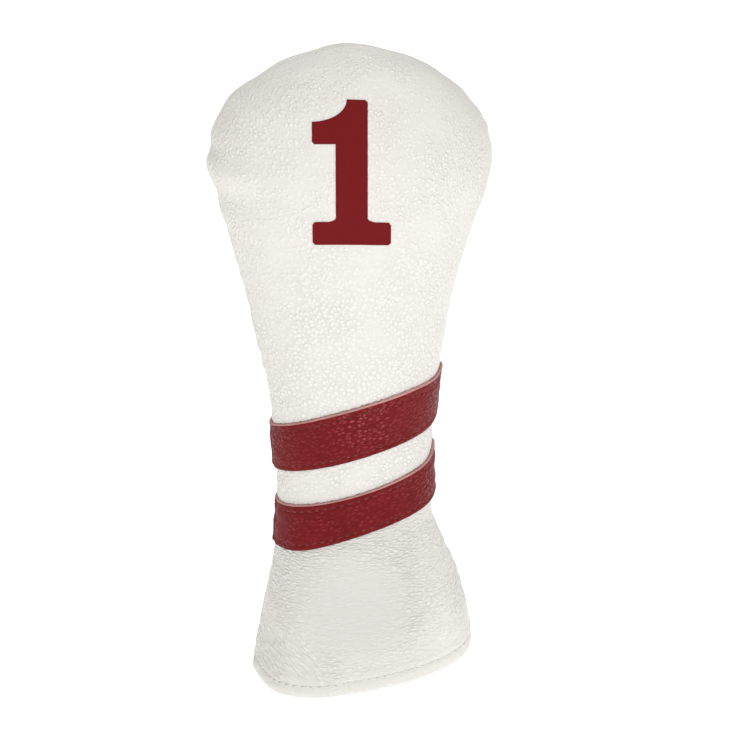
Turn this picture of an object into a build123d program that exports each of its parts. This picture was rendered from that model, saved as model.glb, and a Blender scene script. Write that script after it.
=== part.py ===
from build123d import *
import os
from math import cos, hypot, pi, sin

# Driver head cover, standing on its open mouth. Millimetres, +Z up towards the crown.
# The numeral is on the -Y side and the two side seams lie in the plane Y = 0.

# ---- driving dimensions -------------------------------------------------------------------
# The outer leather, as ellipses from the mouth to the crown:
# height, half width along X, half depth along Y, and how far the centre leans along X.
stations = [
    (0, 61.5, 47.0, -1.0),
    (28, 57.3, 43.5, -0.5),
    (66, 46.0, 35.0, -1.5),
    (94, 42.0, 30.5, -3.5),
    (134, 42.5, 31.0, -4.5),
    (166, 45.6, 35.5, -5.0),
    (196, 51.0, 41.0, -6.0),
    (222, 56.8, 44.8, -6.0),
    (246, 63.2, 47.0, -5.5),
    (268, 70.6, 48.0, -5.0),
    (287, 72.6, 46.8, -5.0),
    (304, 66.5, 42.0, -5.5),
    (319, 54.0, 34.5, -6.0),
    (330, 36.0, 24.5, -6.0),
    (336, 18.0, 13.0, -6.0),
]

# The layers, by how deep their two faces lie under the outer surface.
leather_layer = (0.0, 1.2)
elastic_layer = (2.8, 4.0)
facing_layer = (1.5, 2.7)
foam_layer = (1.5, 4.0)
lining_layer = (4.3, 7.5)
strip_layer = (-2.0, -0.2)      # the contrast strips stand proud of the panels
film_layer = (-0.5, -0.1)       # the numeral's film

seam_gap = 0.3                  # between two sewn halves, over the plane of the seams
allowance_depth = 3.8           # how deep a panel's turned-in edge reaches at a side seam
allowance_leather = 1.2
allowance_spans = [(20.0, 106.0), (133.0, 340.0)]   # cut away at the hem and the elastic
foam_edge = 2.0                 # foam stops this far from the plane of the seams

foam_bottom = 166.0
lining_bottom = 12.0
facing_span = (0.5, 18.0)
elastic_span = (109.0, 130.0)

strip_width = 24.0
strip_heights = {"upper": 142.0, "lower": 97.5}
strip_climb_x = 0.26            # rise of a strip for each unit along +X
strip_climb_y = -0.10           # and for each unit along +Y
strip_climb = (1 + strip_climb_x**2 + strip_climb_y**2) ** 0.5

thread = 0.8                    # thread diameter
stitch_pitch = 4.5
stitch_length = 3.2
strip_margin = 2.8              # from the edge of a strip to its row of stitches
hem_margin = 6.5                # from the mouth to its row of stitches
elastic_margin = 4.0

numeral_height = 70.6
numeral_width = 38.4
numeral_stem = 15.5
numeral_slab = 11.0
numeral_flag = 11.0             # height of the flag's blunt end
numeral_shoulder = 11.3         # how far the flag's end lies below the top
numeral_tip = 2.4               # from the centre line to where the flag's curve starts
numeral_origin = (-15.3, 0, 283.5)

reach = 200.0                   # larger than the cover in any direction
path_steps = 720                # points along the path of a row of stitches
settling_steps = 12             # rounds that put a point of a tilted ring on its plane


# ---- helpers ------------------------------------------------------------------------------
def layer_stations(depth):
    """The stations moved inwards by depth, along the normal of the outline."""
    moved = []
    last = len(stations) - 1
    for index, (height, half_width, half_depth, lean) in enumerate(stations):
        below = stations[max(index - 1, 0)]
        above = stations[min(index + 1, last)]
        rise = above[0] - below[0]
        growth = (above[1] + above[2] - below[1] - below[2]) / 2
        inwards = depth * rise / hypot(rise, growth)
        down = -depth * growth / hypot(rise, growth)
        if index == 0:
            inwards = depth
            down = 0
        moved.append((height - down, half_width - inwards, half_depth - inwards, lean))
    return moved


def form(depth):
    """The cover's form, shrunk by depth all round, as one solid with a flat bottom."""
    with BuildPart() as solid:
        for height, half_width, half_depth, lean in layer_stations(depth):
            with BuildSketch(Plane((lean, 0, height))):
                Ellipse(half_width, half_depth)
        loft()
    return solid.part


def section(height, depth):
    """Half width, half depth and lean of a layer at a height between two stations."""
    rows = layer_stations(depth)
    for low, high in zip(rows, rows[1:]):
        if low[0] <= height <= high[0]:
            share = (height - low[0]) / (high[0] - low[0])
            return [a + share * (b - a) for a, b in zip(low[1:], high[1:])]
    raise ValueError("height outside the cover")


def ring_point(angle, height, depth, climb_x=0.0, climb_y=0.0):
    """A point of a level or tilted ring on a layer, at an angle about the Z axis."""
    level = height
    for _ in range(settling_steps):
        half_width, half_depth, lean = section(level, depth)
        x = lean + half_width * cos(angle)
        y = half_depth * sin(angle)
        level = height + climb_x * x + climb_y * y
    return Vector(x, y, level)


def evenly(path, pitch):
    """Planes spaced by about pitch along a path of points, each facing along the path."""
    lengths = [0.0]
    for start, end in zip(path, path[1:]):
        lengths.append(lengths[-1] + (end - start).length)
    count = round(lengths[-1] / pitch)
    planes = []
    for index in range(count):
        target = (index + 0.5) * lengths[-1] / count
        place = next(i for i, length in enumerate(lengths) if length >= target)
        start, end = path[place - 1], path[place]
        planes.append(Plane((start + end) / 2, z_dir=end - start))
    return planes


def ring_stitches(height, depth, climb_x=0.0, climb_y=0.0):
    """Places for a row of stitches round a layer."""
    path = [ring_point(2 * pi * step / path_steps, height, depth, climb_x, climb_y)
            for step in range(path_steps + 1)]
    return evenly(path, stitch_pitch)


def seam_stitches(side, low, high, depth):
    """Places for a row of stitches across a side seam; side is -1 or +1 along X."""
    path = []
    for step in range(path_steps + 1):
        height = low + (high - low) * step / path_steps
        half_width, half_depth, lean = section(height, depth)
        path.append(Vector(lean + side * half_width, 0, height))
    return [Plane(place.origin, z_dir=(0, 1, 0)) for place in evenly(path, stitch_pitch)]


def save(name, part):
    """Label a finished piece and write its STEP file."""
    part.label = name
    export_step(part, f"parts/{name}.step")


os.makedirs("parts", exist_ok=True)

halves = {
    "front": Plane((0, -seam_gap / 2, 0), x_dir=(1, 0, 0), z_dir=(0, -1, 0)),
    "back": Plane((0, seam_gap / 2, 0), x_dir=(-1, 0, 0), z_dir=(0, 1, 0)),
}

outer_form = form(leather_layer[0])
under_leather = form(leather_layer[1])
under_allowance = form(allowance_depth)
foam_outside = form(foam_layer[0])
foam_inside = form(foam_layer[1])
lining_outside = form(lining_layer[0])
lining_inside = form(lining_layer[1])
strip_outside = form(strip_layer[0])
strip_inside = form(strip_layer[1])


# ---- leather panels, with their edges turned in at the side seams -------------------------
for side, plane in halves.items():
    with BuildPart() as turned_edge:
        add(outer_form)
        add(under_allowance, mode=Mode.SUBTRACT)
        with BuildSketch(plane):
            for low, high in allowance_spans:
                with Locations((0, (low + high) / 2)):
                    Rectangle(reach, high - low)
        extrude(amount=allowance_leather, mode=Mode.INTERSECT)

    with BuildPart() as panel:
        add(outer_form)
        add(under_leather, mode=Mode.SUBTRACT)
        split(bisect_by=plane, keep=Keep.TOP)
        add(turned_edge.part)
    save(f"{side}_panel", panel.part)

# ---- foam behind the head ------------------------------------------------------------------
for side, plane in halves.items():
    with BuildPart() as padding:
        add(foam_outside)
        add(foam_inside, mode=Mode.SUBTRACT)
        split(bisect_by=plane.offset(foam_edge - seam_gap / 2), keep=Keep.TOP)
        split(bisect_by=Plane.XY.offset(foam_bottom), keep=Keep.TOP)
    save(f"{side}_padding", padding.part)

# ---- fleece lining -------------------------------------------------------------------------
for side, plane in halves.items():
    with BuildPart() as lining:
        add(lining_outside)
        add(lining_inside, mode=Mode.SUBTRACT)
        split(bisect_by=plane, keep=Keep.TOP)
        split(bisect_by=Plane.XY.offset(lining_bottom), keep=Keep.TOP)
    save(f"{side}_lining", lining.part)

# ---- bands inside the leather: the elastic of the neck and the facing of the hem ------------
inner_bands = {
    "neck_elastic": (elastic_layer, elastic_span),
    "hem_facing": (facing_layer, facing_span),
}
for name, (layer, span) in inner_bands.items():
    with BuildPart() as band:
        add(form(layer[0]))
        add(form(layer[1]), mode=Mode.SUBTRACT)
        with BuildSketch(Plane.XY.offset(span[0])):
            Rectangle(reach, reach)
        extrude(amount=span[1] - span[0], mode=Mode.INTERSECT)
    save(name, band.part)

# ---- contrast strips round the neck --------------------------------------------------------
strip_slope = Vector(-strip_climb_x, -strip_climb_y, 1)
for level, height in strip_heights.items():
    slanted = Plane((0, 0, height), z_dir=strip_slope)
    for side, plane in halves.items():
        with BuildPart() as strip:
            add(strip_outside)
            add(strip_inside, mode=Mode.SUBTRACT)
            with BuildSketch(slanted.offset(-strip_width / 2)):
                Rectangle(reach, reach)
            extrude(amount=strip_width, mode=Mode.INTERSECT)
            split(bisect_by=plane, keep=Keep.TOP)
        save(f"{level}_strip_{side}", strip.part)

# ---- the numeral, a thin film on the front of the head --------------------------------------
half_stem = numeral_stem / 2
half_width = numeral_width / 2
half_height = numeral_height / 2
shoulder = half_height - numeral_shoulder
with BuildPart() as numeral:
    add(form(film_layer[0]))
    add(form(film_layer[1]), mode=Mode.SUBTRACT)
    with BuildSketch(Plane(numeral_origin, x_dir=(1, 0, 0), z_dir=(0, -1, 0))):
        with BuildLine():
            Polyline(
                (-half_width, shoulder),
                (-half_width, shoulder - numeral_flag),
                (-half_stem, shoulder - numeral_flag),
                (-half_stem, numeral_slab - half_height),
                (-half_width, numeral_slab - half_height),
                (-half_width, -half_height),
                (half_width, -half_height),
                (half_width, numeral_slab - half_height),
                (half_stem, numeral_slab - half_height),
                (half_stem, half_height),
                (-numeral_tip, half_height),
            )
            EllipticalCenterArc(
                (-half_width, half_height),
                half_width - numeral_tip,
                numeral_shoulder,
                start_angle=270,
                arc_size=90,
            )
        make_face()
    extrude(amount=reach, mode=Mode.INTERSECT)
save("numeral_patch", numeral.part)


# ---- stitching -------------------------------------------------------------------------------
def save_stitches(name, places):
    """One straight stitch of thread at each place."""
    with BuildPart() as stitches:
        with Locations(*places):
            Cylinder(thread / 2, stitch_length)
    save(name, stitches.part)


save_stitches("hem_stitching", ring_stitches(hem_margin, leather_layer[0]))

for level, height in strip_heights.items():
    margin = (strip_width / 2 - strip_margin) * strip_climb
    places = []
    for row in (height - margin, height + margin):
        places += ring_stitches(row, strip_layer[0], strip_climb_x, strip_climb_y)
    save_stitches(f"{level}_strip_stitching", places)

elastic_face = elastic_layer[1]
elastic_rows = (elastic_span[0] + elastic_margin, elastic_span[1] - elastic_margin)
places = []
for row in elastic_rows:
    places += ring_stitches(row, elastic_face)
save_stitches("elastic_stitching", places)

allowance_middle = (leather_layer[1] + allowance_depth) / 2
for name, side in (("left", -1), ("right", 1)):
    places = []
    for low, high in allowance_spans:
        top = min(high, stations[-1][0] - allowance_depth)
        places += seam_stitches(side, low + stitch_pitch, top - stitch_pitch, allowance_middle)
    save_stitches(f"{name}_seam_stitching", places)

lining_middle = (lining_layer[0] + lining_layer[1]) / 2
lining_top = layer_stations(lining_layer[1])[-1][0] - stitch_pitch
places = []
for side in (-1, 1):
    places += seam_stitches(side, lining_bottom + stitch_pitch, lining_top, lining_middle)
save_stitches("lining_stitching", places)
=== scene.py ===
import math

import bmesh
import bpy
import numpy as np
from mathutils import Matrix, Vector, noise
from mathutils.bvhtree import BVHTree


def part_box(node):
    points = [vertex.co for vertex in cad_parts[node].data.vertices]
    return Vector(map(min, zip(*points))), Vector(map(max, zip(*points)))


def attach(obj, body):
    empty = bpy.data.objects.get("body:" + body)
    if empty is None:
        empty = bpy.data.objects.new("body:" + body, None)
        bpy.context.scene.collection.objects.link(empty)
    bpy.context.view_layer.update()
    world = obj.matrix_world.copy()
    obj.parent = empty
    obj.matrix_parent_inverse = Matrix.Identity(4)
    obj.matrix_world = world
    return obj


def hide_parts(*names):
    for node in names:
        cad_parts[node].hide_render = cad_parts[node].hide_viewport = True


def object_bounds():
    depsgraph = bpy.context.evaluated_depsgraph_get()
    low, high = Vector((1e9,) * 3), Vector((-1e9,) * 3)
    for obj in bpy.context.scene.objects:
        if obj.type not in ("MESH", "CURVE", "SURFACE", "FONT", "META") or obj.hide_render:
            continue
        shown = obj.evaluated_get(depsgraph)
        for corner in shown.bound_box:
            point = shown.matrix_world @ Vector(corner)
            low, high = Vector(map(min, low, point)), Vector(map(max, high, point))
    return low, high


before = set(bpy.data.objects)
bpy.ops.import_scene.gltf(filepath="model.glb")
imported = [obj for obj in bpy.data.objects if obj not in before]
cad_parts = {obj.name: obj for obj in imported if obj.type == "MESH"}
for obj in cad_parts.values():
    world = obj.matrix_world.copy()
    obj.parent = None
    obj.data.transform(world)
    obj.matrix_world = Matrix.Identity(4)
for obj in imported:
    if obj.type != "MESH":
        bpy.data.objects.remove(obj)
cad_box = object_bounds()

MM = 0.001
PI = math.pi
scene = bpy.context.scene

# ---- driving values ----------------------------------------------------------------------------
TURN = 13.0              # the camera stands this far round to the left, in degrees
ELEVATION = 19.5         # and this far above the level, in degrees
DISTANCE = 1.0           # from the middle of the view
LENS = 93.7              # focal length on a 36 mm sensor

SEAM_GAP = 0.15 * MM        # half the gap between two panels
SEAM_RADIUS = 1.5 * MM      # how softly a panel's edge rolls into the seam
SEAM_ALLOWANCE = 2.2 * MM   # leather turned in at a side seam
FOLD_RADIUS = 1.3 * MM      # of the fold at the hem
TURN_UP = 17.0 * MM         # leather turned up inside the hem
HEM_ROW = 6.5 * MM          # hem stitches above the fold
STITCH_PITCH = 4.5 * MM
STITCH_LENGTH = 2.9 * MM
THREAD = 0.42 * MM          # radius of the thread

STRIP_WIDTHS = {"upper": 24.4 * MM, "lower": 23.2 * MM}
STRIP_HEIGHTS = {"upper": 141.6 * MM, "lower": 97.3 * MM}   # of its middle, at the axis
STRIP_MARGIN = 2.9 * MM                                     # from a strip's edge to its stitches
STRIP_CLIMB = (0.26, -0.10)                                 # its rise along +X and along +Y
STRIP_BOW = {"upper": 4.2 * MM, "lower": -1.0 * MM}         # of its top edge, up in front
STRIP_SAG = {"upper": 0.0, "lower": 1.5 * MM}               # of its low edge, at the left
STRIP_CURL = {"upper": (4.6, 4.4), "lower": (2.0, 6.4)}     # of both edges, up at the right, in mm

NUMERAL_HEIGHT = 69.4 * MM
NUMERAL_WIDTH = 38.3 * MM
NUMERAL_STEM = 15.5 * MM
NUMERAL_SLAB = 10.8 * MM    # height of its foot, and of its flag


# ---- the cover's outer surface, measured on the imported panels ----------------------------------
def tree_of(names):
    """A search tree over the meshes of CAD nodes."""
    points, faces = [], []
    for name in names:
        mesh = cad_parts[name].data
        start = len(points)
        points += [vertex.co.copy() for vertex in mesh.vertices]
        faces += [[start + index for index in polygon.vertices] for polygon in mesh.polygons]
    return BVHTree.FromPolygons(points, faces)


panels = tree_of(["front_panel", "back_panel"])
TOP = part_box("front_panel")[1].z
OUTSIDE = 0.3            # rays start this far from the axis
BESIDE_SEAM = -1.0 * MM  # and the sideways ones run this far in front of the seams


def measure(height):
    """Half width, half depth and lean of the panels at a height."""
    right = panels.ray_cast(Vector((OUTSIDE, BESIDE_SEAM, height)), Vector((-1, 0, 0)))[0].x
    left = panels.ray_cast(Vector((-OUTSIDE, BESIDE_SEAM, height)), Vector((1, 0, 0)))[0].x
    lean = (right + left) / 2
    front = panels.ray_cast(Vector((lean, -OUTSIDE, height)), Vector((0, 1, 0)))[0].y
    return (right - left) / 2, -front, lean


def smooth(values, reach):
    """Each column blurred along the rows by a bell of that reach, in rows."""
    half = int(3 * reach)
    weights = np.exp(-0.5 * (np.arange(-half, half + 1) / reach) ** 2)
    weights /= weights.sum()
    padded = np.pad(values, ((half, half), (0, 0)), mode="reflect", reflect_type="odd")
    return np.stack([np.convolve(column, weights, "valid") for column in padded.T], 1)


def outline():
    """Arc lengths from hem to crown, and rows of height, half width, half depth and lean."""
    dome = 3.4 * MM                               # the crown rises to a soft point
    spacing = 0.5 * MM
    blur = 9                                      # in rows of that spacing
    heights = np.linspace(0.5 * MM, TOP - 0.6 * MM, 120)      # just inside the panels' ends
    rows = np.array([(height, *measure(height)) for height in heights])
    rows[0, 0] = 0.0
    last = rows[-1]
    for shrink in 1 - np.linspace(0.1, 1, 14):
        lift = dome * (1 - shrink ** 3)
        rows = np.vstack([rows, (last[0] + lift, last[1] * shrink, last[2] * shrink, last[3])])
    mean = (rows[:, 1] + rows[:, 2]) / 2
    steps = np.hypot(np.diff(rows[:, 0]), np.diff(mean))
    arc = np.concatenate([[0], np.cumsum(steps)])
    even = np.arange(0, arc[-1], spacing)
    table = np.stack([np.interp(even, arc, column) for column in rows.T], 1)
    mirror = table[::-1].copy()
    mirror[:, 1:3] *= -1                          # carry on over the pole while smoothing
    both = np.vstack([table, mirror[1:]])
    soft = smooth(both, blur)[: len(table)]
    soft[:, 0] -= soft[0, 0]
    soft[-1, 1:3] = 0
    return even, np.maximum(soft, [0, 0, 0, -1])


ARC, PROFILE = outline()
CROWN = ARC[-1]


def profile(s):
    """Height, half width, half depth and lean at an arc length."""
    return [np.interp(s, ARC, column) for column in PROFILE.T]


def roundness(z):
    """Power of the section's outline: 2 is an ellipse, and near the hem it is squarer."""
    return 2.0 + 0.35 * np.exp(-(((z - 0.02) / 0.055) ** 2))


def base(theta, s):
    """Points of the smooth outline; theta 0 is the right seam, and -PI / 2 the front."""
    z, half_width, half_depth, lean = profile(s)
    power = 2 / roundness(z)
    c, d = np.cos(theta), np.sin(theta)
    x = lean + half_width * np.sign(c) * np.abs(c) ** power
    y = half_depth * np.sign(d) * np.abs(d) ** power
    return np.stack([x, y, z], -1)


def normals(theta, s):
    """Outward directions of the smooth outline, straight up at the crown."""
    step = 1.5 * MM
    turn = 0.02
    inner = np.minimum(s, CROWN - 2 * step)
    along = base(theta, inner + step) - base(theta, np.maximum(inner - step, 0))
    round_ = base(theta + turn, inner) - base(theta - turn, inner)
    n = np.cross(round_, along)
    n /= np.maximum(np.linalg.norm(n, axis=-1, keepdims=True), 1e-12)
    near_pole = np.clip((s - (CROWN - 4 * step)) / (4 * step), 0, 1)[..., None]
    n = n * (1 - near_pole) + np.array([0, 0, 1.0]) * near_pole
    return n / np.linalg.norm(n, axis=-1, keepdims=True)


# ---- soft relief: what the leather does on top of that outline ---------------------------------
def bell(value, centre, reach):
    """1 at the centre, fading away on both sides."""
    return np.exp(-(((value - centre) / reach) ** 2))


def ramp(value, low, high):
    """0 up to low and 1 from high on, with a soft rise between."""
    share = np.clip((value - low) / (high - low), 0, 1)
    return share * share * (3 - 2 * share)


def cloud(points, size, seed):
    """Smooth noise from about -1 to 1, with features of that size."""
    flat = points.reshape(-1, 3) / size + np.array([seed * 7.3, seed * 3.1, seed * 5.7])
    values = np.fromiter((noise.noise(Vector(p)) for p in flat), float, len(flat))
    return values.reshape(points.shape[:-1])


def relief(theta, s, fine=True):
    """Height of the leather over the outline: terms in mm, at places and reaches in metres."""
    p = base(theta, s)
    x, y, z = p[..., 0], p[..., 1], p[..., 2]
    front = y < 0
    off_seam = np.abs(y)
    rise = np.zeros_like(z)
    # the head is padded unevenly, and the leather over it is slack
    rise += 0.9 * cloud(p, 0.045, 1) * ramp(z, 0.15, 0.20)
    rise += 0.22 * cloud(p, 0.016, 2)
    # the skirt: a shallow hollow in front, and soft ridges at its sides
    rise -= 3.0 * bell(x, -0.006, 0.026) * bell(z, 0.046, 0.026) * front
    rise += 1.4 * bell(x - 0.22 * (0.075 - z), 0.034, 0.010) * bell(z, 0.050, 0.030) * front
    rise += 0.8 * bell(x + 0.25 * (0.075 - z), -0.032, 0.010) * bell(z, 0.045, 0.028) * front
    rise += 4.2 * bell(x, -0.038, 0.016) * bell(z, 0.0, 0.030) * front
    rise += 4.0 * bell(x, -0.053, 0.009) * bell(z, 0.0, 0.018) * front
    rise -= 2.4 * ramp(x, 0.026, 0.040) * bell(z, 0.084, 0.009)
    rise -= 3.4 * ramp(-x, 0.044, 0.060) * bell(z, 0.018, 0.032)
    rise -= 2.0 * bell(x, 0.0, 0.026) * bell(z, 0.046, 0.026) * ~front
    # the seams pull the head into flats and corners, mostly at the left
    left = ramp(-x, 0.046, 0.070)
    crown_left = ramp(-x, 0.020, 0.050)
    rise += 2.4 * crown_left * bell(z, 0.314, 0.009) * (1 - ramp(y, 0.000, 0.014))
    rise += 0.8 * bell(x, -0.030, 0.016) * bell(z, 0.331, 0.008)
    rise -= 3.0 * ramp(-x, 0.040, 0.056) * bell(z, 0.320, 0.006) * ramp(y, 0.000, 0.014)
    rise += 0.9 * left * bell(z, 0.300, 0.007)
    rise -= 0.4 * left * bell(z, 0.291, 0.006)
    rise += 1.0 * left * bell(z, 0.281, 0.006)
    rise -= 1.6 * left * bell(z, 0.268, 0.007)
    rise -= 1.4 * ramp(x, 0.020, 0.050) * bell(z, 0.324, 0.016)
    # both seams: leather rolls in, and puckers beside the stitches
    pucker = cloud(p * np.array([0.3, 0.3, 1.0]), 0.006, 3)
    rise += (0.35 + 0.5 * pucker) * bell(off_seam, 3.2 * MM, 3.0 * MM)
    rise += 0.5 * pucker * bell(off_seam, 7 * MM, 6 * MM)
    # the hem: stitches draw a channel, with a soft roll above and below it
    rise += 0.30 * bell(s, 3.2 * MM, 2.4 * MM)
    rise += 0.55 * bell(s, 10.0 * MM, 2.6 * MM) * (0.6 + 0.4 * ramp(x, -0.02, 0.04))
    if fine:
        rise -= 0.55 * bell(s, HEM_ROW, 1.1 * MM)
        # creases that fan out of the hem's corners
        for side, amount in ((-1, 1.0), (1, 0.7)):
            slant = z + side * 0.75 * x
            fan = ramp(side * x, 0.030, 0.050) * bell(z, 0.020, 0.014)
            crease = cloud(np.stack([slant * 5, y, (z - side * x) * 0.5], -1), 0.011, 5 + side)
            rise += amount * 0.55 * fan * crease
    return rise * MM


def lip(off_seam):
    """How deep a panel's edge rolls in, at a distance from the plane of the seam."""
    inside = np.clip((SEAM_GAP + SEAM_RADIUS - off_seam) / SEAM_RADIUS, 0, 1)
    return SEAM_RADIUS * 0.85 * (1 - np.sqrt(1 - inside ** 2 * 0.999))


def hem_lift(points):
    """The hem isn't quite level: its right side stands clear of the floor."""
    most = 8.0 * MM
    low = 1 - ramp(points[..., 2], 0.0, 0.09)
    side = ramp(points[..., 0], -0.045, 0.06)
    lifted = points.copy()
    lifted[..., 2] += most * low * side
    return lifted


def place(theta, s, depth=0.0, fine=True, seam=True):
    """Points on the leather, or at a depth below it."""
    p = base(theta, s)
    rise = relief(theta, s, fine) - depth
    if seam:
        rise = rise - lip(np.abs(p[..., 1]))
    return hem_lift(p + normals(theta, s) * rise[..., None])


# ---- mesh helpers ------------------------------------------------------------------------------
def new_object(name, points, faces, smooth_shading=True):
    """A mesh of points and faces, linked into the scene."""
    mesh = bpy.data.meshes.new(name)
    mesh.from_pydata([tuple(p) for p in np.asarray(points).reshape(-1, 3)], [], faces)
    mesh.validate()
    mesh.update()
    piece = bpy.data.objects.new(name, mesh)
    scene.collection.objects.link(piece)
    if smooth_shading:
        mesh.polygons.foreach_set("use_smooth", [True] * len(mesh.polygons))
    return piece


def grid_faces(rows, columns, closed=False, start=0):
    """Quads of a grid of points; closed joins the last column to the first."""
    faces = []
    for r in range(rows - 1):
        for c in range(columns if closed else columns - 1):
            d = (c + 1) % columns
            low, high = start + r * columns, start + (r + 1) * columns
            faces.append((low + c, low + d, high + d, high + c))
    return faces


def outward(piece):
    """Make a closed mesh's faces look outwards."""
    shape = bmesh.new()
    shape.from_mesh(piece.data)
    bmesh.ops.recalc_face_normals(shape, faces=shape.faces)
    shape.to_mesh(piece.data)
    shape.free()


def finish_piece(piece, material, slot, *nodes):
    """Material, slot and CAD nodes that a piece stands for; the slot is not used."""
    materials = material if isinstance(material, (list, tuple)) else [material]
    for entry in materials:
        piece.data.materials.append(entry)
    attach(piece, "root")
    if nodes:
        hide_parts(*nodes)
    return piece


def half_angles(side, count):
    """Angles from one seam to the other, closer together at the seams."""
    near = np.array([0.0, 0.003, 0.006, 0.010, 0.015, 0.022, 0.030])
    clear = near[-1] + 0.004
    middle = np.linspace(0, 1, count)
    inner = middle[(middle > clear) & (middle < 1 - clear)]
    share = np.concatenate([near, inner, 1 - near[::-1]])
    return side * PI * share


# ---- materials ---------------------------------------------------------------------------------
class Nodes:
    """A short way to write a material's node tree; place is the point on the object."""

    def __init__(self, name):
        self.material = bpy.data.materials.new(name)
        self.material.use_nodes = True
        self.tree = self.material.node_tree
        self.shader = self.tree.nodes["Principled BSDF"]
        coordinates = self.tree.nodes.new("ShaderNodeTexCoord")
        self.place = coordinates.outputs["Object"]

    def add(self, kind, inputs=None, **settings):
        """A node with its settings, and with values or links for its inputs."""
        node = self.tree.nodes.new(kind)
        for key, value in settings.items():
            setattr(node, key, value)
        for key, value in (inputs or {}).items():
            self.put(node.inputs[key], value)
        return node

    def put(self, socket, value):
        if isinstance(value, bpy.types.NodeSocket):
            self.tree.links.new(value, socket)
        else:
            socket.default_value = value

    def math(self, operation, a, b=0.0):
        return self.add("ShaderNodeMath", {0: a, 1: b}, operation=operation).outputs[0]

    def vector_math(self, operation, a, b=(0, 0, 0)):
        """The node itself, because some operations have one more input."""
        return self.add("ShaderNodeVectorMath", {0: a, 1: b}, operation=operation)

    def product(self, first, *rest):
        """Values multiplied together."""
        for value in rest:
            first = self.math("MULTIPLY", first, value)
        return first

    def stretch(self, scale, slant=0.0):
        """The place turned about Y by a slant in degrees, then scaled."""
        turned = self.add("ShaderNodeMapping", {"Vector": self.place})
        turned.inputs["Rotation"].default_value = (0, math.radians(slant), 0)
        node = self.add("ShaderNodeMapping", {"Vector": turned.outputs["Vector"]})
        node.inputs["Scale"].default_value = scale
        return node.outputs["Vector"]

    def wander(self, scale, reach):
        """Move the place about by smooth noise, so cells aren't regular."""
        waves = self.add("ShaderNodeTexNoise", {"Vector": self.place, "Scale": scale})
        centred = self.vector_math("SUBTRACT", waves.outputs["Color"], (0.5, 0.5, 0.5))
        scaled = self.vector_math("SCALE", centred.outputs["Vector"])
        scaled.inputs["Scale"].default_value = reach
        moved = self.vector_math("ADD", self.place, scaled.outputs["Vector"])
        self.place = moved.outputs["Vector"]

    def noise(self, vector, scale, detail=2.0, rough=0.5):
        node = self.add("ShaderNodeTexNoise", {"Vector": vector, "Scale": scale})
        node.inputs["Detail"].default_value = detail
        node.inputs["Roughness"].default_value = rough
        return node.outputs["Fac"]

    def cells(self, vector, scale, low, high, **settings):
        """A distance in a pattern of cells, eased from 0 at low to 1 at high."""
        node = self.add("ShaderNodeTexVoronoi", {"Vector": vector, "Scale": scale}, **settings)
        return self.span(node.outputs["Distance"], low, high, interpolation_type="SMOOTHSTEP")

    def valleys(self, vector, scale, width):
        """0 along the thin creases between cells, 1 on the cells."""
        return self.cells(vector, scale, 0.0, width, feature="DISTANCE_TO_EDGE")

    def domes(self, vector, scale, foot):
        """Rounded pebbles from 0 at their foot to 1 on top."""
        return self.cells(vector, scale, foot, 0.08)

    def grains(self, vector, scale, share):
        """Creased cells mixed with a share of rounded pebbles."""
        creased, rounded = self.valleys(vector, scale, 0.30), self.domes(vector, scale, 0.80)
        return self.blend(share, creased, rounded)

    def span(self, value, low, high, to_low=0.0, to_high=1.0, **settings):
        """A value carried from one range to another, and held at its ends."""
        node = self.add("ShaderNodeMapRange", {"Value": value}, **settings)
        node.inputs["From Min"].default_value = low
        node.inputs["From Max"].default_value = high
        node.inputs["To Min"].default_value = to_low
        node.inputs["To Max"].default_value = to_high
        return node.outputs["Result"]

    def blend(self, share, first, second):
        """The first value at share 0 and the second at share 1."""
        node = self.add("ShaderNodeMix", data_type="FLOAT")
        self.put(node.inputs["Factor"], share)
        self.put(node.inputs["A"], first)
        self.put(node.inputs["B"], second)
        return node.outputs["Result"]

    def colours(self, share, first, second):
        """The first colour at share 0 and the second at share 1."""
        node = self.add("ShaderNodeMix", data_type="RGBA")
        self.put(node.inputs["Factor"], share)
        for index, colour in ((6, first), (7, second)):      # the sockets of its two colours
            if not isinstance(colour, bpy.types.NodeSocket):
                colour = (*colour, 1)
            self.put(node.inputs[index], colour)
        return node.outputs[2]

    def bump(self, height, strength, distance):
        node = self.add("ShaderNodeBump", {"Height": height})
        node.inputs["Strength"].default_value = strength
        node.inputs["Distance"].default_value = distance
        return node.outputs["Normal"]

    def x_and_z(self):
        split = self.add("ShaderNodeSeparateXYZ", {"Vector": self.place})
        return split.outputs["X"], split.outputs["Z"]


def hollow_of(n, x, z, plain):
    """About 0.2 in the skirt's hollow and 1 away from it, with a wavy rim."""
    aside = n.product(n.math("ADD", x, 0.013), 1 / 0.023)
    above = n.product(n.math("SUBTRACT", z, 0.047), 1 / 0.021)
    away = n.math("ADD", n.product(aside, aside), n.product(above, above))
    wavy = n.math("ADD", away, n.product(n.noise(plain, 60.0, 2.0), 0.8))
    return n.span(wavy, 1.0, 2.6, 0.20, 1.0)


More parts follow.
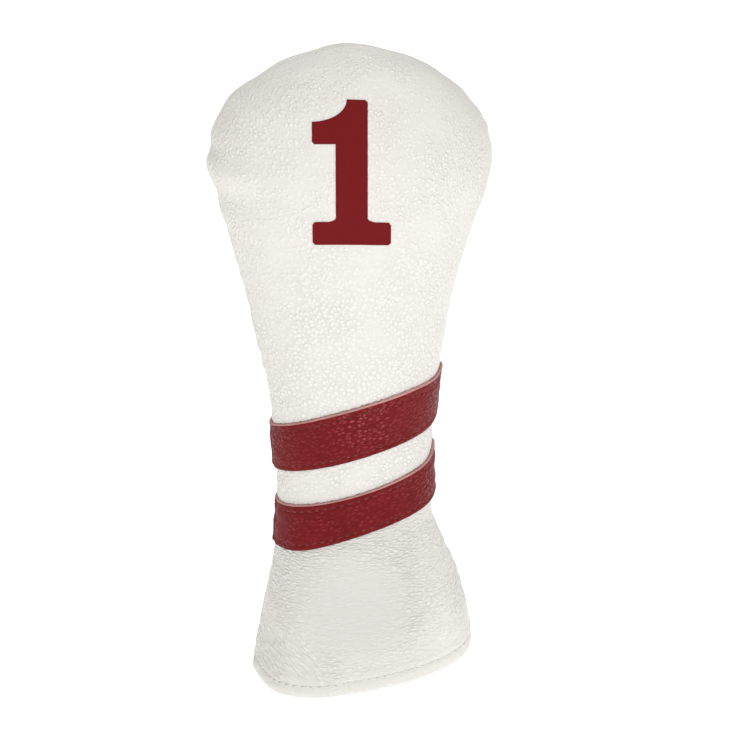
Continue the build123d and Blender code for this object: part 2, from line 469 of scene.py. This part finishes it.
def white_leather():
    """Pebbled white leather: small bumps on the head, closer ones below, creased on the skirt."""
    n = Nodes("white_leather")
    x, z = n.x_and_z()
    n.wander(130.0, 0.0026)
    plain = n.stretch((1, 1, 1))
    head_from, head_to = 0.215, 0.255             # heights between which the head's look begins
    head = n.span(z, head_from, head_to)
    skirt = n.span(z, 0.112, 0.084)
    skirt_sides = n.span(n.math("ABSOLUTE", n.math("ADD", x, 0.006)), 0.024, 0.042)

    # the grain: sparse on the head, close below it, drawn out on the skirt
    sparse = n.domes(plain, 500.0, 0.66)
    close = n.grains(plain, 470.0, 0.75)
    level = n.grains(n.stretch((0.42, 0.42, 1.0)), 680.0, 0.80)
    falling = n.grains(n.stretch((0.24, 0.40, 1.0), -40.0), 560.0, 0.80)
    rising = n.grains(n.stretch((0.42, 0.42, 1.0), 30.0), 660.0, 0.80)
    left = n.product(n.span(z, 0.044, 0.024), n.span(x, -0.026, -0.040))
    right = n.product(n.span(z, 0.095, 0.065), n.span(x, 0.018, 0.050))
    creases = n.blend(right, n.blend(left, level, falling), rising)
    grain = n.blend(skirt, n.blend(head, close, sparse), creases)

    # how far it stands out: in patches, less in the hollow, above the hem and on its fold
    patches = n.span(n.noise(plain, 42.0, 3.0), 0.34, 0.60, 0.40, 1.0)
    calm = hollow_of(n, x, z, plain)
    above_hem = n.math("SUBTRACT", z, n.span(x, -0.045, 0.060, 0.0, 0.008))
    fold = n.span(above_hem, 0.0062, 0.0080, 0.45, 1.0)
    quiet = n.product(n.span(above_hem, 0.030, 0.016), n.span(x, -0.030, -0.016))
    worked = n.product(n.math("MAXIMUM", patches, skirt), n.blend(quiet, 1.0, 0.55))
    strength = n.product(worked, calm, fold)
    raised = n.product(grain, strength)
    pores = n.product(n.noise(n.stretch((0.7, 0.7, 1.2)), 820.0, 3.0), 0.25)
    height = n.math("ADD", n.product(raised, n.blend(skirt, 1.0, 1.5)), pores)
    n.put(n.shader.inputs["Normal"], n.bump(height, 0.85, 0.0006))

    # colour: cream, with painted shade greyer in the hollow and darker in the creases, and a
    # painted highlight on top of the grain
    cream = n.colours(n.span(n.noise(plain, 14.0, 2.0), 0.35, 0.65),
                      (0.796, 0.771, 0.719), (0.826, 0.803, 0.753))
    # painted shade: the middle of the skirt is greyer, most of all in its hollow
    hollow_shade = n.blend(skirt_sides, n.span(calm, 0.20, 1.0, 0.90, 0.22), 0.0)
    hollow_shaded = n.colours(n.product(skirt, hollow_shade), cream, (0.700, 0.680, 0.645))
    # painted shade in the creases of the grain, deepest on the middle of the skirt
    body_shade_depth = n.span(z, head_from, head_to, 0.30, 0.23)
    depth = n.blend(skirt, body_shade_depth, n.blend(skirt_sides, 0.50, 0.18))
    crevice_shade = n.product(n.math("SUBTRACT", 1.0, grain), strength, depth)
    crevice_shaded = n.colours(crevice_shade, hollow_shaded, (0.600, 0.575, 0.525))
    # painted highlight: the tops of the grain are lighter, least on the middle of the skirt
    highlight_strength = n.blend(skirt, 0.80, n.blend(skirt_sides, 0.35, 0.60))
    painted_highlight = n.colours(n.product(n.math("POWER", raised, 2.0), highlight_strength), crevice_shaded, (0.960, 0.945, 0.900))
    n.put(n.shader.inputs["Base Color"], painted_highlight)
    n.put(n.shader.inputs["Roughness"], n.span(grain, 0.0, 0.8, 0.56, 0.34))
    n.shader.inputs["Specular IOR Level"].default_value = 0.45
    return n.material


def red_leather():
    """Glossier pebbled leather, oxblood red, with painted shade in its creases and a painted
    highlight on top of its pebbles.
    """
    n = Nodes("red_leather")
    x, z = n.x_and_z()
    n.wander(180.0, 0.0020)
    plain = n.stretch((1, 1, 1))
    pebbles = n.grains(n.stretch((0.62, 0.62, 1.0), 14.0), 560.0, 0.60)
    patches = n.span(n.noise(plain, 60.0, 2.0), 0.35, 0.62, 0.25, 0.7)
    upper = n.span(z, 0.118, 0.140)
    middle = n.product(n.span(x, -0.040, -0.016), n.span(x, 0.026, 0.002))
    grain = n.product(pebbles, n.math("MAXIMUM", patches, n.product(upper, middle)))
    wrinkle = n.product(n.noise(plain, 240.0, 3.0), 0.6)
    pores = n.product(n.noise(plain, 900.0, 3.0), 0.25)
    height = n.math("ADD", grain, n.math("ADD", wrinkle, pores))
    n.put(n.shader.inputs["Normal"], n.bump(height, 0.80, 0.0006))
    shade = n.colours(n.span(n.noise(plain, 45.0, 3.0), 0.3, 0.7),
                      (0.177, 0.0074, 0.0092), (0.211, 0.0097, 0.0115))
    # painted shade darkens the creases between the pebbles
    crevice_shade = n.product(n.math("SUBTRACT", 1.0, pebbles), 0.45)
    crevice_shaded = n.colours(crevice_shade, shade, (0.095, 0.0045, 0.0065))
    # painted highlight: the tops of the pebbles are lighter, most where the grain is raised in the
    # middle of the upper strip
    pebble_highlight = n.product(n.math("POWER", grain, 3.5), 0.75)
    n.put(n.shader.inputs["Base Color"], n.colours(pebble_highlight, crevice_shaded, (0.43, 0.080, 0.082)))
    n.put(n.shader.inputs["Roughness"], n.span(grain, 0.0, 0.8, 0.60, 0.24))
    n.shader.inputs["Specular IOR Level"].default_value = 0.20
    n.shader.inputs["Specular Tint"].default_value = (1.0, 0.5, 0.5, 1)
    return n.material


def simple_material(name, dark, light, scale, roughness, bump, distance,
                    stretch=(1, 1, 1), sheen=0.0, gloss=0.5):
    """A matte procedural material: fibres, thread, foam, raw leather or painted shade."""
    n = Nodes(name)
    fibre = n.noise(n.stretch(stretch), scale, 4.0, 0.65)
    tone = n.noise(n.stretch((1, 1, 1)), scale * 0.12, 2.0)
    mix = n.span(n.blend(0.4, fibre, tone), 0.35, 0.65)
    n.put(n.shader.inputs["Base Color"], n.colours(mix, dark, light))
    n.put(n.shader.inputs["Roughness"],
          n.span(fibre, 0.3, 0.7, roughness - 0.08, min(roughness + 0.08, 1)))
    n.put(n.shader.inputs["Normal"], n.bump(fibre, bump, distance))
    n.shader.inputs["Sheen Weight"].default_value = sheen
    n.shader.inputs["Specular IOR Level"].default_value = gloss
    return n.material


WHITE = white_leather()
RED = red_leather()
PINK = simple_material(
    "raw_edge_pink", (0.46, 0.22, 0.21), (0.66, 0.35, 0.33),
    scale=500.0, roughness=0.85, bump=0.4, distance=0.0003)
BROWN = simple_material(
    "raw_edge_brown", (0.24, 0.11, 0.10), (0.58, 0.36, 0.33),
    scale=350.0, roughness=0.9, bump=0.7, distance=0.0004)
# painted shade: a strip's low edge, coloured dark as if in shadow
EDGE_SHADE = simple_material(
    "shaded_low_edge", (0.070, 0.006, 0.009), (0.105, 0.009, 0.013),
    scale=900.0, roughness=0.6, bump=0.4, distance=0.0003, gloss=0.15)
FILM = simple_material(
    "red_film", (0.1700, 0.0088, 0.0106), (0.1760, 0.0094, 0.0112),
    scale=300.0, roughness=0.8, bump=0.03, distance=0.0001, gloss=0.1)
THREAD_WHITE = simple_material(
    "white_thread", (0.74, 0.72, 0.68), (0.88, 0.86, 0.82),
    scale=2600.0, roughness=0.75, bump=0.5, distance=0.0002, sheen=0.2)
THREAD_RED = simple_material(
    "red_thread", (0.12, 0.009, 0.011), (0.28, 0.055, 0.058),
    scale=260.0, roughness=0.6, bump=0.5, distance=0.0002, gloss=0.3)
FLEECE = simple_material(
    "fleece", (0.66, 0.63, 0.57), (0.85, 0.83, 0.78),
    scale=420.0, roughness=0.92, bump=0.9, distance=0.0020, sheen=0.5)
FOAM = simple_material(
    "foam", (0.62, 0.61, 0.56), (0.76, 0.75, 0.70),
    scale=1300.0, roughness=0.92, bump=0.6, distance=0.0005)
ELASTIC = simple_material(
    "elastic", (0.66, 0.65, 0.62), (0.82, 0.81, 0.79),
    scale=900.0, roughness=0.85, bump=0.7, distance=0.0006, stretch=(0.2, 0.2, 2.2))
# painted shade: darker grains sunk into the needle holes stand for the shadow in them
HOLE_SHADE = simple_material(
    "needle_hole_shade", (0.50, 0.48, 0.44), (0.72, 0.70, 0.66),
    scale=120.0, roughness=0.9, bump=0.3, distance=0.0002)


# ---- white panels ------------------------------------------------------------------------------
def make_panel(side_name, side):
    """One half of the leather: turned-up hem, fold, outer face and edges rolled into seams."""
    above_hem = 15 * MM                           # rows lie closer together below this
    rows = [(s, 2 * FOLD_RADIUS) for s in np.linspace(TURN_UP, FOLD_RADIUS, 9)[:-1]]
    for angle in np.linspace(PI, 0, 9)[:-1]:
        depth = FOLD_RADIUS * (1 - math.cos(angle))
        rows.append((FOLD_RADIUS - FOLD_RADIUS * math.sin(angle), depth))
    rows += [(s, 0.0) for s in np.linspace(FOLD_RADIUS, above_hem, 24)]
    rows += [(s, 0.0) for s in np.linspace(above_hem, CROWN, 235)[1:]]
    s_rows, depth_rows = np.array(rows).T
    angle, s = np.meshgrid(half_angles(side, 170), s_rows)
    depth = np.broadcast_to(depth_rows[:, None], s.shape)
    points = place(angle, s, depth)
    gap = side * SEAM_GAP
    points[..., 1] = np.where(side * points[..., 1] < SEAM_GAP, gap, points[..., 1])
    near, far = (place(angle[:, end], s[:, end], depth[:, end] + SEAM_ALLOWANCE)
                 for end in (slice(0, 1), slice(-1, None)))
    near[..., 1] = far[..., 1] = gap
    grid = np.concatenate([near, points, far], 1)
    piece = new_object(f"visual_{side_name}_panel", grid, grid_faces(*grid.shape[:2]))
    turn_out(piece)
    return piece


def turn_out(piece):
    """Face an open sheet away from the cover's axis, judged by a few faces above the hem."""
    mesh = piece.data
    judged = 400
    step = max(len(mesh.polygons) // judged, 1)
    score = 0.0
    for polygon in list(mesh.polygons)[::step]:
        if polygon.center.z > 30 * MM:
            axis = Vector((0, 0, polygon.center.z))
            score += polygon.normal.dot(polygon.center - axis)
    if score < 0:
        mesh.flip_normals()


front_leather = make_panel("front", -1)
back_leather = make_panel("back", 1)
finish_piece(front_leather, WHITE, "white_leather", "front_panel")
finish_piece(back_leather, WHITE, "white_leather", "back_panel")


# ---- contrast strips ---------------------------------------------------------------------------
def slanted_arc(theta, height):
    """Arc length at which a tilted plane meets the cover, at each angle."""
    s = np.full_like(theta, height)
    for _ in range(25):                           # enough rounds to settle
        p = base(theta, s)
        target = height + STRIP_CLIMB[0] * p[..., 0] + STRIP_CLIMB[1] * p[..., 1]
        s = s + 0.8 * (target - p[..., 2])
    return s


CLIMB = math.sqrt(1 + STRIP_CLIMB[0] ** 2 + STRIP_CLIMB[1] ** 2)
FACE, PINK_EDGE, BROWN_EDGE, SHADED_EDGE = range(4)      # a strip's materials, in order
FRAY = {FACE: 0.0, PINK_EDGE: 0.16, BROWN_EDGE: 0.50, SHADED_EDGE: 0.06}     # in mm


def strip_section(width):
    """Across a strip: place over its width and height over the leather in mm, and material."""
    half = width / MM / 2
    row = half - STRIP_MARGIN / MM
    low_edge = [(0.25, 0.05), (0, 0.50), (-0.02, 0.95), (0.16, 1.35)]
    low_bevel = [(-half + 0.55, 1.68), (-half + 1.1, 1.82)]
    channel = [(-0.8, 1.85), (-0.35, 1.70), (0, 1.58), (0.35, 1.70), (0.8, 1.86)]
    middle = [(at, 1.95) for at in np.linspace(-row + 2.2, row - 2.2, 13)]
    top_bevel = [(half - 0.9, 1.84), (half - 0.15, 1.72)]
    pink = [(0.10, 1.50), (0.28, 1.22), (0.38, 0.92)]
    brown = [(0.52, 0.45), (0.64, 0.05)]
    face = low_bevel + [(-row + at, up) for at, up in channel] + middle
    face += [(row - at, up) for at, up in channel[::-1]] + top_bevel
    # the low edge carries the painted shade
    section = [(-half + at, up, SHADED_EDGE) for at, up in low_edge]
    section += [(at, up, FACE) for at, up in face]
    section += [(half + at, up, PINK_EDGE) for at, up in pink]
    section += [(half + at, up, BROWN_EDGE) for at, up in brown]
    return section


def strip_arc(level, theta, across):
    """Arc length of a line along a strip, at an offset from its middle; reaches in radians."""
    front = np.clip(-np.sin(theta), 0, 1) ** 1.5
    share = 0.5 + across / STRIP_WIDTHS[level]
    bow = STRIP_BOW[level] * front * share
    low, high = STRIP_CURL[level]
    reach = np.where(theta < 0, 0.36, 1.1)        # the curl dies away sooner in front
    curl = (low + (high - low) * share) * MM * bell(theta, 0.0, reach)
    left = bell(np.abs(theta), 2.5, 0.5)          # beside the left seam, in front and behind
    sag = STRIP_SAG[level] * (1 - share) * left
    return slanted_arc(theta, STRIP_HEIGHTS[level] + across * CLIMB) + bow + curl - sag


def make_strip(level, side_name, side):
    """Half of a strip, from seam to seam, with its ends cut square."""
    height = STRIP_HEIGHTS[level]
    theta = half_angles(side, 200)[1:-1]
    section = strip_section(STRIP_WIDTHS[level])
    columns = []
    for across, up, kind in section:
        wobble = np.array([noise.noise(Vector((t * 40, across, height * 90))) for t in theta])
        s = strip_arc(level, theta, (across + FRAY[kind] * wobble) * MM)
        columns.append(place(theta, s, -up * MM * (1 + 0.03 * wobble)))
    points = np.stack(columns, 1)
    rows, count = points.shape[:2]
    kinds = [kind for _, _, kind in section]
    marks = [max(pair) for pair in zip(kinds, kinds[1:])] + [SHADED_EDGE]
    faces = grid_faces(rows, count, closed=True)
    faces.append(tuple(range(count))[::-1])
    faces.append(tuple(range((rows - 1) * count, rows * count)))
    piece = new_object(f"visual_{level}_strip_{side_name}", points, faces)
    marks = marks * (rows - 1) + [BROWN_EDGE, BROWN_EDGE]
    piece.data.polygons.foreach_set("material_index", marks)
    outward(piece)
    materials = [RED, PINK, BROWN, EDGE_SHADE]
    return finish_piece(piece, materials, "red_leather", f"{level}_strip_{side_name}")


for level in STRIP_HEIGHTS:
    for side_name, side in (("front", -1), ("back", 1)):
        make_strip(level, side_name, side)


# ---- stitches ----------------------------------------------------------------------------------
def lengths_of(path):
    """Length of a path of points, up to each of them."""
    steps = np.linalg.norm(np.diff(path, axis=0), axis=1)
    return np.concatenate([[0], np.cumsum(steps)])


def spaced(path, pitch):
    """Centres and directions spaced by about pitch along a path of points."""
    arc = lengths_of(path)
    count = int(round(arc[-1] / pitch))
    where = (np.arange(count) + 0.5) * arc[-1] / count

    def points_at(lengths):
        return np.stack([np.interp(lengths, arc, column) for column in path.T], 1)

    along = points_at(where + 0.4 * pitch) - points_at(where - 0.4 * pitch)
    return points_at(where), along / np.linalg.norm(along, axis=1, keepdims=True)


def stitch_shape(length, radius, sides=8, rings=9):
    """A short twisted grain of thread along X, whose ends dive into the leather."""
    end_radius = 0.03 * MM
    dive = 0.55 * MM
    twist = 2.2                                   # radians from its middle to an end
    flatness = 0.16
    points = []
    for ring in range(rings):
        share = ring / (rings - 1) * 2 - 1
        thick = radius * (1 - abs(share) ** 3.5) ** 0.5 + end_radius
        sink = -dive * abs(share) ** 3
        for side in range(sides):
            turn = 2 * PI * side / sides + share * twist
            around = thick * (1 + flatness * math.cos(2 * turn))
            across, up = around * math.cos(turn), around * math.sin(turn) + sink
            points.append((share * length / 2, across, up))
    faces = grid_faces(rings, sides, closed=True)
    faces.append(tuple(range(sides))[::-1])
    faces.append(tuple(range((rings - 1) * sides, rings * sides)))
    return np.array(points), faces


def stamp(name, shape, centres, along, out, seed):
    """One mesh with a copy of a shape at each place; X runs along, Z points out."""
    points, faces = shape
    rng = np.random.default_rng(seed)
    all_points, all_faces = [], []
    for centre, x_axis, z_axis in zip(centres, along, out):
        y_axis = np.cross(z_axis, x_axis)
        y_axis /= np.linalg.norm(y_axis)
        z_true = np.cross(x_axis, y_axis)
        tilt = rng.normal(0, 0.05)
        leaning = x_axis * math.cos(tilt) + y_axis * math.sin(tilt)
        across = np.cross(z_true, leaning)
        start = len(all_points) * len(points)
        all_points.append(centre + points @ np.stack([leaning, across, z_true]))
        all_faces += [tuple(start + index for index in face) for face in faces]
    piece = new_object(name, np.concatenate(all_points), all_faces)
    outward(piece)
    return piece


def ring_row(s_of_theta, lift, seam=True):
    """A row of stitches right round: centres, directions and outward normals."""
    theta = np.linspace(-PI, PI, 1441)
    path = place(theta, s_of_theta(theta), -lift, seam=seam)
    centres, along = spaced(path, STITCH_PITCH)
    lengths = lengths_of(path)
    where = (np.arange(len(centres)) + 0.5) * lengths[-1] / len(centres)
    angles = np.interp(where, lengths, theta)
    out = normals(angles, s_of_theta(angles))
    return centres, along, out


def level_row(s):
    """A row that keeps one arc length right round."""
    return lambda theta: np.full_like(theta, s)


SHAPE = stitch_shape(STITCH_LENGTH, THREAD)
centres, along, out = ring_row(level_row(HEM_ROW), 0.12 * MM)
hem_stitches = stamp("visual_hem_stitching", SHAPE, centres, along, out, 1)
finish_piece(hem_stitches, THREAD_WHITE, "white_thread", "hem_stitching")

# painted shade in the needle holes between the hem stitches
pit = stitch_shape(2.6 * MM, 0.30 * MM, 8, 7)
hole_centres = centres + along * STITCH_PITCH / 2 - out * 0.14 * MM
hole_shades = stamp("visual_hem_needle_hole_shades", pit, hole_centres, along, out, 2)
finish_piece(hole_shades, HOLE_SHADE, "white_leather")

for level in STRIP_HEIGHTS:
    rows = []
    reach = STRIP_WIDTHS[level] / 2 - STRIP_MARGIN
    for across in (-reach, reach):
        rows.append(ring_row(lambda theta, at=across: strip_arc(level, theta, at), 1.62 * MM))
    centres, along, out = (np.concatenate(parts) for parts in zip(*rows))
    piece = stamp(f"visual_{level}_strip_stitching", SHAPE, centres, along, out, 3)
    finish_piece(piece, THREAD_RED, "red_thread", f"{level}_strip_stitching")


def seam_row(side, low, high, depth):
    """Stitches across a side seam: centres, directions along Y and outward normals."""
    s = np.linspace(low, high, 600)
    theta = np.full_like(s, 0.0 if side > 0 else PI)
    centres, _ = spaced(place(theta, s, depth, seam=False), STITCH_PITCH)
    where = np.linspace(low, high, len(centres))
    out = normals(np.full_like(where, theta[0]), where)
    out[:, 1] = 0
    along = np.tile([0.0, 1.0, 0.0], (len(centres), 1))
    return centres, along, out / np.linalg.norm(out, axis=1, keepdims=True)


seam_stitch = stitch_shape(2.6 * MM, THREAD)
for name, side in (("left", -1), ("right", 1)):
    centres, along, out = seam_row(side, low=22 * MM, high=CROWN - 6 * MM, depth=2.7 * MM)
    piece = stamp(f"visual_{name}_seam_stitching", seam_stitch, centres, along, out, 4)
    finish_piece(piece, THREAD_WHITE, "white_thread", f"{name}_seam_stitching")

rows = [seam_row(side, low=16 * MM, high=CROWN - 10 * MM, depth=7.0 * MM) for side in (-1, 1)]
centres, along, out = (np.concatenate(parts) for parts in zip(*rows))
piece = stamp("visual_lining_stitching", stitch_shape(3.2 * MM, THREAD), centres, along, out, 5)
finish_piece(piece, THREAD_WHITE, "white_thread", "lining_stitching")


# ---- layers inside -----------------------------------------------------------------------------
def shell_layer(name, side, low, high, outer_depth, inner_depth, rows, columns,
                lumps=0.0, edge=0.0):
    """A closed layer between two depths; side 0 goes right round.

    Lumps is how far its inner face is fluffed up, and edge the angle it keeps off the seams.
    """
    s = np.linspace(low, high, rows)
    if side:
        theta = side * np.linspace(edge, PI - edge, columns)
    else:
        theta = np.linspace(-PI, PI, columns + 1)[:-1]
    angle, arc = np.meshgrid(theta, s)
    outer = place(angle, arc, outer_depth, fine=False, seam=False)
    inner = place(angle, arc, inner_depth, fine=False, seam=False)
    if lumps:
        fluff = cloud(inner, 0.0035, 9) + 0.6 * cloud(inner, 0.0075, 8)
        inner = inner - normals(angle, arc) * (fluff * lumps)[..., None]
    if side:
        gap = 0.4 * MM + edge * 5 * MM            # from the plane of the seams
        for wall in (outer, inner):
            wall[..., 1] = np.where(side * wall[..., 1] < gap, side * gap, wall[..., 1])
    closed = not side
    count = rows * columns
    faces = grid_faces(rows, columns, closed)
    faces += grid_faces(rows, columns, closed, start=count)
    rims = []                                     # pairs of neighbours along the open edges
    for start in (0, (rows - 1) * columns):
        for c in range(columns if closed else columns - 1):
            rims.append((start + c, start + (c + 1) % columns))
    if not closed:
        for start in (0, columns - 1):
            rims += [(start + r * columns, start + (r + 1) * columns) for r in range(rows - 1)]
    faces += [(a, b, count + b, count + a) for a, b in rims]
    piece = new_object(name, np.concatenate([outer.reshape(-1, 3), inner.reshape(-1, 3)]), faces)
    outward(piece)
    return piece


for side_name, side in (("front", -1), ("back", 1)):
    padding = shell_layer(
        f"visual_{side_name}_padding", side, low=176 * MM, high=CROWN - 6 * MM,
        outer_depth=2.6 * MM, inner_depth=4.6 * MM, rows=70, columns=60, edge=0.05)
    finish_piece(padding, FOAM, "foam", f"{side_name}_padding")
    lining = shell_layer(
        f"visual_{side_name}_lining", side, low=13 * MM, high=CROWN - 9 * MM,
        outer_depth=5.0 * MM, inner_depth=7.6 * MM, rows=150, columns=90, lumps=0.9 * MM)
    finish_piece(lining, FLEECE, "fleece", f"{side_name}_lining")

elastic = shell_layer(
    "visual_neck_elastic", 0, low=112 * MM, high=133 * MM,
    outer_depth=3.3 * MM, inner_depth=4.5 * MM, rows=22, columns=220)
finish_piece(elastic, ELASTIC, "elastic", "neck_elastic")
facing = shell_layer(
    "visual_hem_facing", 0, low=2.5 * MM, high=20 * MM,
    outer_depth=3.9 * MM, inner_depth=4.9 * MM, rows=16, columns=220)
finish_piece(facing, WHITE, "white_leather", "hem_facing")

rows = [ring_row(level_row(s), -4.5 * MM, seam=False) for s in (116 * MM, 129 * MM)]
centres, along, out = (np.concatenate(parts) for parts in zip(*rows))
piece = stamp("visual_elastic_stitching", SHAPE, centres, along, -out, 6)
finish_piece(piece, THREAD_WHITE, "white_thread", "elastic_stitching")


# ---- camera ------------------------------------------------------------------------------------
turn, tilt = math.radians(-TURN), math.radians(ELEVATION)
BACK = Vector((math.sin(turn) * math.cos(tilt), -math.cos(turn) * math.cos(tilt), math.sin(tilt)))
RIGHT = Vector((math.cos(turn), math.sin(turn), 0))
UP = BACK.cross(RIGHT)
MIDDLE = Vector((0, 0, 170 * MM))                 # of the cover
AIM = RIGHT * 1.6 * MM + MIDDLE                   # the middle of the view
camera_data = bpy.data.cameras.new("camera")
camera_data.lens = LENS
camera_data.sensor_width = 36.0
camera = bpy.data.objects.new("camera", camera_data)
camera.location = AIM + BACK * DISTANCE
camera.rotation_euler = BACK.to_track_quat("Z", "Y").to_euler()
scene.collection.objects.link(camera)
scene.camera = camera


# ---- numeral -----------------------------------------------------------------------------------
def numeral_outline():
    """A slab numeral one: x to the right and y up from its middle, in metres."""
    half_w, half_h, half_s = NUMERAL_WIDTH / 2, NUMERAL_HEIGHT / 2, NUMERAL_STEM / 2
    cut = 1.2 * MM                                # off its corners
    slab = NUMERAL_SLAB - half_h
    shoulder = half_h - 11.1 * MM
    flag = shoulder - NUMERAL_SLAB
    tip = -2.4 * MM                               # left end of its top
    fillet = [(0, 1.6 * MM), (0.9 * MM, 0.7 * MM), (3.4 * MM, 0)]     # from its stem to its foot
    points = [(-half_w, shoulder), (-half_w, flag + cut), (-half_w + cut, flag), (-half_s, flag)]
    points += [(-half_s - x, slab + y) for x, y in fillet]
    points += [
        (-half_w + cut, slab), (-half_w, slab - cut),
        (-half_w, -half_h + cut), (-half_w + cut, -half_h),
        (half_w - cut, -half_h), (half_w, -half_h + cut),
        (half_w, slab - cut), (half_w - cut, slab),
    ]
    points += [(half_s + x, slab + y) for x, y in fillet[::-1]]
    points += [(half_s, half_h - cut), (half_s - cut, half_h), (tip, half_h)]
    steps = 12                                    # of the hollow curve from tip to shoulder
    for step in range(1, steps):
        angle = PI / 2 * step / steps
        x = tip + (-half_w - tip) * (1 - math.cos(angle))
        y = shoulder + (half_h - shoulder) * (1 - math.sin(angle))
        points.append((x, y))
    return points


def conform(name, points, centre, lift, thickness):
    """A film cut to an outline and laid on the front leather, as seen along the view."""
    shape = bmesh.new()
    vertices = [shape.verts.new((x, y, 0)) for x, y in points]
    shape.faces.new(vertices)
    spacing = 1.5 * MM                            # of the cuts that let it bend
    for axis, reach in ((0, NUMERAL_WIDTH), (1, NUMERAL_HEIGHT)):
        count = int(reach / spacing)
        normal = Vector((1 - axis, axis, 0))
        for step in range(-count // 2, count // 2 + 1):
            bmesh.ops.bisect_plane(shape, geom=shape.verts[:] + shape.edges[:] + shape.faces[:],
                                   plane_co=normal * (step * spacing), plane_no=normal)
    bmesh.ops.triangulate(shape, faces=shape.faces[:])
    tree = BVHTree.FromObject(front_leather, bpy.context.evaluated_depsgraph_get())
    top = bmesh.ops.extrude_face_region(shape, geom=shape.faces[:])
    raised = {v for v in top["geom"] if isinstance(v, bmesh.types.BMVert)}
    in_front = 0.2                                # rays start this far from the view's middle
    for vertex in shape.verts:
        x, y = centre[0] + vertex.co.x, centre[1] + vertex.co.y
        hit = tree.ray_cast(AIM + RIGHT * x + UP * y + BACK * in_front, -BACK)[0]
        vertex.co = hit + BACK * (lift + (thickness if vertex in raised else 0))
    bmesh.ops.recalc_face_normals(shape, faces=shape.faces)
    mesh = bpy.data.meshes.new(name)
    shape.to_mesh(mesh)
    shape.free()
    piece = bpy.data.objects.new(name, mesh)
    scene.collection.objects.link(piece)
    return piece


NUMERAL_PLACE = (-6.4 * MM, 93.3 * MM)            # right of and above the middle of the view
numeral = conform("visual_numeral", numeral_outline(), NUMERAL_PLACE, 0.05 * MM, 0.22 * MM)
finish_piece(numeral, FILM, "red_film", "numeral_patch")


# ---- floor and light ---------------------------------------------------------------------------
def stage_floor():
    """A pale floor that glows a little, just under the cover."""
    n = Nodes("studio_floor")
    mist = n.span(n.noise(n.place, 3.0, 2.0), 0.3, 0.7)
    pale = n.colours(mist, (0.86, 0.86, 0.86), (0.88, 0.88, 0.88))
    n.put(n.shader.inputs["Base Color"], pale)
    n.shader.inputs["Roughness"].default_value = 0.9
    n.shader.inputs["Specular IOR Level"].default_value = 0.1
    n.shader.inputs["Emission Color"].default_value = (1, 1, 1, 1)
    n.shader.inputs["Emission Strength"].default_value = 0.60
    reach = 60.0
    points = [(-reach, -reach, 0), (reach, -reach, 0), (reach, reach, 0), (-reach, reach, 0)]
    floor = new_object("floor", np.array(points), [(0, 1, 2, 3)], smooth_shading=False)
    floor.data.materials.append(n.material)
    floor.location.z = cad_box[0][2] - 0.3 * MM


def area_light(name, where, size, power):
    """A rectangular light in watts, turned towards the middle of the cover."""
    data = bpy.data.lights.new(name, "AREA")
    data.shape = "RECTANGLE"
    data.size, data.size_y = size
    data.energy = power
    light = bpy.data.objects.new(name, data)
    light.location = where
    aim = MIDDLE - Vector(where)
    light.rotation_euler = aim.to_track_quat("-Z", "Y").to_euler()
    scene.collection.objects.link(light)


def studio_world():
    """Even light from all round, a little dimmer at the horizon."""
    world = bpy.data.worlds.new("studio")
    scene.world = world
    world.use_nodes = True
    tree = world.node_tree
    place_node = tree.nodes.new("ShaderNodeTexCoord")
    split = tree.nodes.new("ShaderNodeSeparateXYZ")
    fade = tree.nodes.new("ShaderNodeMapRange")
    for name, value in (("From Min", 0.05), ("From Max", 0.7), ("To Min", 0.25), ("To Max", 0.73)):
        fade.inputs[name].default_value = value
    background = tree.nodes["Background"]
    background.inputs["Color"].default_value = (1, 1, 1, 1)
    tree.links.new(place_node.outputs["Generated"], split.inputs["Vector"])
    tree.links.new(split.outputs["Z"], fade.inputs["Value"])
    tree.links.new(fade.outputs["Result"], background.inputs["Strength"])


stage_floor()
area_light("key_light", (1.0, -1.15, 0.75), (0.45, 0.6), 2.0)
area_light("front_light", (-0.12, -1.15, 1.05), (0.12, 0.12), 1.7)
area_light("low_light", (-0.25, -1.5, 0.10), (0.20, 0.14), 2.1)
area_light("top_light", (0.0, -0.2, 1.4), (0.6, 0.6), 1.85)
studio_world()
scene.view_settings.view_transform = "Standard"
